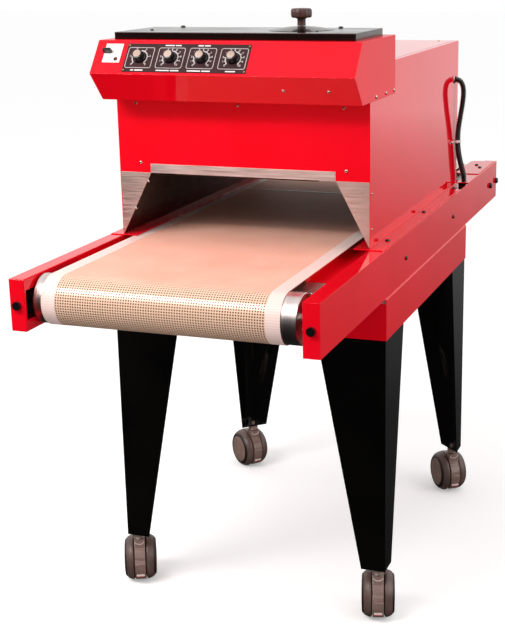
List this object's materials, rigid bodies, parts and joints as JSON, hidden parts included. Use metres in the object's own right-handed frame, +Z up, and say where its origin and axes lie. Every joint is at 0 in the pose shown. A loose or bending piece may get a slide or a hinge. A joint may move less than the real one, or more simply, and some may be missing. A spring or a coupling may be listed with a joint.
{
  "type": "infrared tunnel dryer",
  "caption": "Conveyor dryer with a mesh belt between two box rails, a short infrared oven over the belt, a control console and legs on swivel casters.",
  "frame": {"origin": "on the floor, under the middle of the machine's outer box", "axes": "+X to the right seen from the infeed end, +Y along the belt to the outfeed end, +Z up"},
  "size_m": [0.723, 1.67, 1.3663],
  "materials": {
    "red_paint": "glossy",
    "black_paint": "glossy",
    "belt_mesh": "coated mesh",
    "roller_metal": "polished",
    "bright_aluminium": "brushed",
    "bearing_iron": "rough",
    "black_steel": "blackened",
    "heater_ceramic": "matt",
    "black_plastic": "glossy",
    "white_plastic": "glossy",
    "lamp_lens": "clear red",
    "knob_plastic": "matt",
    "caster_plastic": "matt",
    "conduit_rubber": "matt"
  },
  "bodies": {
    "machine": {"rail_right": "red_paint", "rail_left": "red_paint", "shaft_bearings": "bearing_iron", "tension_bolts": "black_steel", "conveyor_belt": "belt_mesh", "belt_bed": "red_paint", "nose_plates": "bright_aluminium", "oven_infeed_panel": "red_paint", "infeed_end_plates": "bright_aluminium", "oven_outfeed_panel": "red_paint", "outfeed_end_plates": "bright_aluminium", "opening_lips": "bright_aluminium", "oven_side_right": "red_paint", "oven_side_left": "red_paint", "oven_lid": "red_paint", "reflector_right": "bright_aluminium", "reflector_left": "bright_aluminium", "tunnel_ceiling": "bright_aluminium", "infrared_panels": "heater_ceramic", "base_flange_right": "red_paint", "base_flange_left": "red_paint", "control_console": "red_paint", "control_plate": "black_plastic", "switch_plate": "white_plastic", "pilot_lamp": "lamp_lens", "damper_tray": "black_paint", "damper_cap": "black_paint", "apron_right": "red_paint", "apron_left": "red_paint", "apron_front": "red_paint", "apron_rear": "red_paint", "leg_front_right": "black_paint", "leg_front_left": "black_paint", "leg_rear_right": "black_paint", "leg_rear_left": "black_paint", "conduit": "conduit_rubber", "conduit_gland": "black_plastic", "wire_connector": "white_plastic", "entry_plate": "red_paint", "drive_cover": "red_paint"},
    "infeed_roller": {"infeed_roller": "roller_metal"},
    "drive_roller": {"drive_roller": "roller_metal"},
    "switch_lever": {"switch_lever": "black_plastic"},
    "damper_knob": {"damper_knob": "knob_plastic"},
    "dial_1": {"dial_1": "black_plastic"},
    "dial_2": {"dial_2": "black_plastic"},
    "dial_3": {"dial_3": "black_plastic"},
    "dial_4": {"dial_4": "black_plastic"},
    "swivel_front_left": {"caster_hood_front_left": "caster_plastic"},
    "wheels_front_left": {"caster_wheels_front_left": "caster_plastic"},
    "swivel_front_right": {"caster_hood_front_right": "caster_plastic"},
    "wheels_front_right": {"caster_wheels_front_right": "caster_plastic"},
    "swivel_rear_left": {"caster_hood_rear_left": "caster_plastic"},
    "wheels_rear_left": {"caster_wheels_rear_left": "caster_plastic"},
    "swivel_rear_right": {"caster_hood_rear_right": "caster_plastic"},
    "wheels_rear_right": {"caster_wheels_rear_right": "caster_plastic"}
  },
  "joints": [
    {"name": "drive_roller_spin", "type": "hinge", "parent": "machine", "child": "drive_roller", "pos_m": [0.01846, 0.758, 0.819], "axis": [1, 0, 0], "continuous": true},
    {"name": "infeed_roller_spin", "type": "hinge", "parent": "machine", "child": "infeed_roller", "pos_m": [0.01846, -0.758, 0.819], "axis": [1, 0, 0], "continuous": true},
    {"name": "dial_1_turn", "type": "hinge", "parent": "machine", "child": "dial_1", "pos_m": [-0.16459, -0.48929, 1.27097], "axis": [0, -0.7913, 0.6114], "range_deg": [-135, 135]},
    {"name": "dial_2_turn", "type": "hinge", "parent": "machine", "child": "dial_2", "pos_m": [-0.09489, -0.48929, 1.27097], "axis": [0, -0.7913, 0.6114], "range_deg": [-135, 135]},
    {"name": "dial_3_turn", "type": "hinge", "parent": "machine", "child": "dial_3", "pos_m": [-0.02519, -0.48929, 1.27097], "axis": [0, -0.7913, 0.6114], "range_deg": [-135, 135]},
    {"name": "dial_4_turn", "type": "hinge", "parent": "machine", "child": "dial_4", "pos_m": [0.04451, -0.48929, 1.27097], "axis": [0, -0.7913, 0.6114], "range_deg": [-135, 135]},
    {"name": "switch_lever_turn", "type": "hinge", "parent": "machine", "child": "switch_lever", "pos_m": [-0.23554, -0.48134, 1.28126], "axis": [0, -0.7913, 0.6114], "range_deg": [-90, 0]},
    {"name": "damper_knob_turn", "type": "hinge", "parent": "machine", "child": "damper_knob", "pos_m": [0.13246, -0.321, 1.32], "axis": [0, 0, 1], "range_deg": [0, 90]},
    {"name": "swivel_front_left_turn", "type": "hinge", "parent": "machine", "child": "swivel_front_left", "pos_m": [-0.28154, -0.3775, 0.12], "axis": [0, 0, 1], "continuous": true},
    {"name": "wheels_front_left_spin", "type": "hinge", "parent": "swivel_front_left", "child": "wheels_front_left", "pos_m": [-0.29211, -0.35484, 0.054], "axis": [0.9063, 0.4226, 0], "continuous": true},
    {"name": "swivel_front_right_turn", "type": "hinge", "parent": "machine", "child": "swivel_front_right", "pos_m": [0.31846, -0.3775, 0.12], "axis": [0, 0, 1], "continuous": true},
    {"name": "wheels_front_right_spin", "type": "hinge", "parent": "swivel_front_right", "child": "wheels_front_right", "pos_m": [0.31157, -0.35347, 0.054], "axis": [0.9613, 0.2756, 0], "continuous": true},
    {"name": "swivel_rear_left_turn", "type": "hinge", "parent": "machine", "child": "swivel_rear_left", "pos_m": [-0.28154, 0.3755, 0.12], "axis": [0, 0, 1], "continuous": true},
    {"name": "wheels_rear_left_spin", "type": "hinge", "parent": "swivel_rear_left", "child": "wheels_rear_left", "pos_m": [-0.30069, 0.39157, 0.054], "axis": [0.6428, 0.766, 0], "continuous": true},
    {"name": "swivel_rear_right_turn", "type": "hinge", "parent": "machine", "child": "swivel_rear_right", "pos_m": [0.31846, 0.3755, 0.12], "axis": [0, 0, 1], "continuous": true},
    {"name": "wheels_rear_right_spin", "type": "hinge", "parent": "swivel_rear_right", "child": "wheels_rear_right", "pos_m": [0.30376, 0.39572, 0.054], "axis": [0.809, 0.5878, 0], "continuous": true}
  ],
  "couplings": [
    {"joint": "infeed_roller_spin", "follows": "drive_roller_spin", "ratio": 1}
  ]
}
